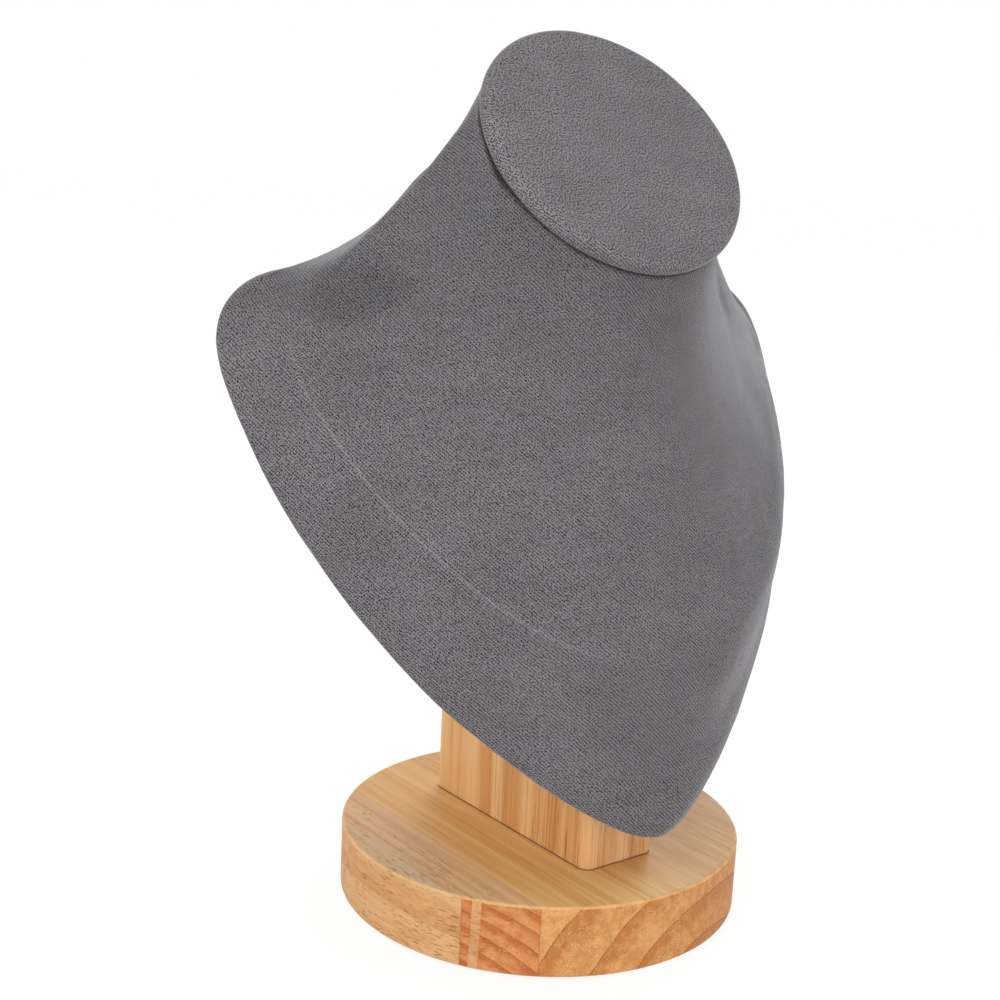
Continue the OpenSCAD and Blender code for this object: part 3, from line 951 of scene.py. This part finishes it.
chest = chest_piece()
chest.data.materials.append(chest_suede)
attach(chest, "root")
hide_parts("chest_cover")

# The cloth of the cap

cap_suede = suede("cap_cloth", colour(112, 110, 113), rib=1.2, nap=11.0, relief=0.05,
                  grain=2.4)

# Points round the cap, the step between the rings on its top, and how far in they go
CAP_SIDES = 240
CAP_STEP = 0.0016
CAP_INNER = 0.032
# Where the turn of the cap's edge has a painted highlight, in from its outline and down from
# its face, and how strong it is
CAP_EDGE_IN = 0.0008
CAP_EDGE_HIGHLIGHT = 0.4
# The seam's shade on the cap's edge, as shares of its lower radius
CAP_SEAM_TOP = 0.8
CAP_SEAM_SOFT = 0.6
# How far down the edge the band with stronger ribs sets in, and over how far
BAND_FROM = 0.0004
BAND_FADE = 0.0008


def cap_ring(inset, z):
    ring = []
    for i in range(CAP_SIDES):
        a = 2 * math.pi * i / CAP_SIDES
        x, y = (CAP_W / 2 - inset) * math.cos(a), (CAP_L / 2 - inset) * math.sin(a)
        ring.append(Vector((x, y, z)))
    return ring


def cap_piece():
    """The cloth of the cap, from its hem under the cap, round the edge and over the top. It
    keeps the same numbers as the chest's, and the band with stronger ribs."""
    marks = [(CAP_HEM_W, -CAP_T), (CAP_HEM_W / 2, -CAP_T)]
    for a in range(-90, 1, 15):
        a = math.radians(a)
        marks.append((CAP_LOW_R * (1 - math.cos(a)), CAP_LOW_R * (1 + math.sin(a)) - CAP_T))
    for a in range(0, 91, 10):
        a = math.radians(a)
        marks.append((CAP_TOP_R * (1 - math.cos(a)), -CAP_TOP_R * (1 - math.sin(a))))
    on_top = len(marks) - 1
    inner = marks[-1][0]
    while inner < CAP_INNER:
        inner += CAP_STEP
        marks.append((inner, 0.0))
    rows = []
    weave = []
    seam_shadow = []
    off = []
    band = []
    rim = cap_ring(CAP_TOP_R, 0)
    for k, (inset, z) in enumerate(marks):
        ring = cap_ring(inset, z)
        rows.append([CAP @ p for p in ring])
        out = way_along(marks[k:on_top + 1])
        flat = ring if k > on_top else [p + p.normalized() * out for p in rim]
        weave.append(flat + flat[:1])
        up = z + CAP_T
        near = clamp((CAP_LOW_R * CAP_SEAM_TOP - up) / (CAP_LOW_R * CAP_SEAM_SOFT))
        seam_shadow += [near] * CAP_SIDES
        # The painted highlight on the turn of the edge is centred here
        from_edge = abs(inset - CAP_EDGE_IN) + abs(z + CAP_EDGE_IN)
        off += [from_edge * MM] * CAP_SIDES
        band += [clamp((-z - BAND_FROM) / BAND_FADE)] * CAP_SIDES
    piece = ring_mesh("cap_cloth", rows, weave, CAP @ Vector((0, 0, 0)), (0, 0))
    keep_at_points(piece, "seam_shadow", seam_shadow + [0.0])
    keep_at_points(piece, "ridge_off", off + [CAP_W / 2 * MM])
    keep_at_points(piece, "ridge_highlight", [CAP_EDGE_HIGHLIGHT] * (len(off) + 1))
    keep_at_points(piece, "edge_band", band + [0.0])
    soften(piece, size=0.018, height=0.00014, seed=5)
    thicken(piece, CLOTH_T)
    return piece


cap = cap_piece()
cap.data.materials.append(cap_suede)
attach(cap, "root")
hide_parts("neck_cap_cover")

# The cloth of the back

# Spans between two points of the outline, and steps from the edge to the middle
BACK_SPANS = 3
BACK_RINGS = 30
# The first rings of the turned edge: how far in from the outline and below its top they lie
BACK_TURN = ((0.0009, 0.0), (0.0003, 0.0001), (0.0, 0.0005))
# How exactly the points of the outline lie in the back's face, and to how many digits two
# places are one
FACE_NEAR = 1e-5
PLACE_DIGITS = 5


def back_ring():
    """The outline of the flat back, in the shield's coordinates, from the solid."""
    points = {}
    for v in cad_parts["back_cover"].data.vertices:
        p = TO_SHIELD @ v.co
        at_hole = abs(p.x) < HOLES_HALF and HOLES_FROM < p.y < HOLES_TO
        if abs(p.z - BACK_FACE) < FACE_NEAR and not at_hole:
            points[(round(p.x, PLACE_DIGITS), round(p.y, PLACE_DIGITS))] = p

    def turn(p):
        return math.atan2(p.y - BACK_MIDDLE.y, p.x - BACK_MIDDLE.x)

    return sorted(points.values(), key=turn)


def back_piece():
    """The cloth of the flat back, with its edges turned round the board."""
    ring = back_ring()
    ring = bend_through(ring, [BACK_SPANS] * len(ring), closed=True)
    n = len(ring)
    inward = []
    for j, p in enumerate(ring):
        along = ring[(j + 1) % n] - ring[j - 1]
        inward.append(Vector((-along.y, along.x, 0)).normalized())
    marks = [(inset, BACK_TOP - down) for inset, down in BACK_TURN]
    for a in range(0, 91, 15):
        a = math.radians(a)
        inset = BACK_EDGE_R * (1 - math.cos(a))
        marks.append((inset, BACK_FACE + BACK_EDGE_R * (1 - math.sin(a))))
    rows = []
    weave = []
    for k, (inset, z) in enumerate(marks):
        rows.append([Vector((p.x, p.y, z)) + q * inset for p, q in zip(ring, inward)])
        flat_inset = marks[-1][0] - way_along(marks[k:])
        weave.append([p + q * flat_inset for p, q in zip(ring, inward)])
    middle = Vector((BACK_MIDDLE.x, BACK_MIDDLE.y, BACK_FACE))
    edge = rows[-1]
    for k in range(1, BACK_RINGS):
        rows.append([p.lerp(middle, k / BACK_RINGS) for p in edge])
        weave.append(rows[-1])
    rows = [[SHIELD @ p for p in row] for row in rows]
    weave = [row + row[:1] for row in weave]
    piece = ring_mesh("back_cloth", rows, weave, SHIELD @ middle, (middle.x, middle.y))
    piece.data.flip_normals()
    thicken(piece, CLOTH_T)
    return piece


back = back_piece()
back.data.materials.append(chest_suede)
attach(back, "root")
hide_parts("back_cover")

# The solids' materials

dress("base", base_wood())
dress("post", post_wood())
dress("base_pad", felt())
steel = screw_steel()
dress("base_screws", steel)
dress("back_screws", steel)
board = fibreboard()
dress("back_board", board)
dress("neck_cap_board", board)
dress("bust_form", form_shell())

# Stage

FLOOR_HALF = 6.0
# How much of the white of the floor hides its shadows from the camera, and how bright it is
FLOOR_CLEAR = 0.80
FLOOR_GLOW = 1.06
# The level of the light that comes from all around
AMBIENT = 0.80
WHITE = (1, 1, 1, 1)

floor_mesh = bpy.data.meshes.new("floor")
floor_mesh.from_pydata(
    [(-FLOOR_HALF, -FLOOR_HALF, 0), (FLOOR_HALF, -FLOOR_HALF, 0),
     (FLOOR_HALF, FLOOR_HALF, 0), (-FLOOR_HALF, FLOOR_HALF, 0)], [], [(0, 1, 2, 3)])
floor = bpy.data.objects.new("floor", floor_mesh)
bpy.context.scene.collection.objects.link(floor)


def floor_material():
    """A white table: it keeps a faint shadow of the object, and shows white to the camera."""
    material = bpy.data.materials.new("floor")
    material.use_nodes = True
    m = Nodes(material.node_tree)
    matt = m.node("BsdfDiffuse", (0.94, 0.94, 0.94, 1)).outputs[0]
    glow = m.node("Emission", WHITE, FLOOR_GLOW).outputs[0]
    clear = m.math("MULTIPLY", m.seen(), FLOOR_CLEAR)
    m.node("OutputMaterial", m.node("MixShader", clear, matt, glow).outputs[0])
    return material


floor.data.materials.append(floor_material())

world = bpy.data.worlds.new("studio")
bpy.context.scene.world = world
world.use_nodes = True
sky = Nodes(world.node_tree)
sky_level = sky.node("MapRange", sky.seen(), 0.0, 1.0, AMBIENT, 1.0).outputs[0]
sky.node("OutputWorld", sky.node("Background", WHITE, sky_level).outputs[0])


def lamp(name, place, aim, size, share):
    """A soft square lamp. share is what it adds to a white surface that faces it."""
    way = Vector(aim) - Vector(place)
    light = bpy.data.lights.new(name, "AREA")
    light.shape = "SQUARE"
    light.size = size
    light.energy = share * math.pi ** 2 * way.length ** 2
    lamp_object = bpy.data.objects.new(name, light)
    lamp_object.location = place
    lamp_object.rotation_euler = way.to_track_quat("-Z", "Y").to_euler()
    bpy.context.scene.collection.objects.link(lamp_object)


lamp("key", (-1.15, -0.65, 0.85), aim=(0, 0, 0.12), size=0.9, share=0.30)
lamp("low", (-1.0, -1.2, 0.30), aim=(0, 0, 0.05), size=0.7, share=0.06)
lamp("fill", (1.1, -0.6, 0.8), aim=(0, 0, 0.12), size=0.9, share=0.03)
lamp("rim", (1.1, 0.7, 0.7), aim=(0, 0, 0.12), size=0.7, share=0.25)

# Camera, fitted to the photo

VIEW_PLACE = Vector((-0.27438, -0.32655, 0.20660))
VIEW_HEADING = math.radians(37.94)
VIEW_PITCH = math.radians(-12.544)
VIEW_ROLL = math.radians(2.785)
camera = bpy.data.cameras.new("camera")
camera.lens = 57.6
camera.sensor_width = 36
camera.sensor_fit = "HORIZONTAL"
camera.clip_start = 0.01
camera_object = bpy.data.objects.new("camera", camera)
camera_object.matrix_world = (
    Matrix.Translation(VIEW_PLACE)
    @ Matrix.Rotation(-VIEW_HEADING, 4, "Z")
    @ Matrix.Rotation(math.pi / 2 + VIEW_PITCH, 4, "X")
    @ Matrix.Rotation(VIEW_ROLL, 4, "Z")
)
bpy.context.scene.collection.objects.link(camera_object)
bpy.context.scene.camera = camera_object
bpy.context.scene.view_settings.view_transform = "Standard"
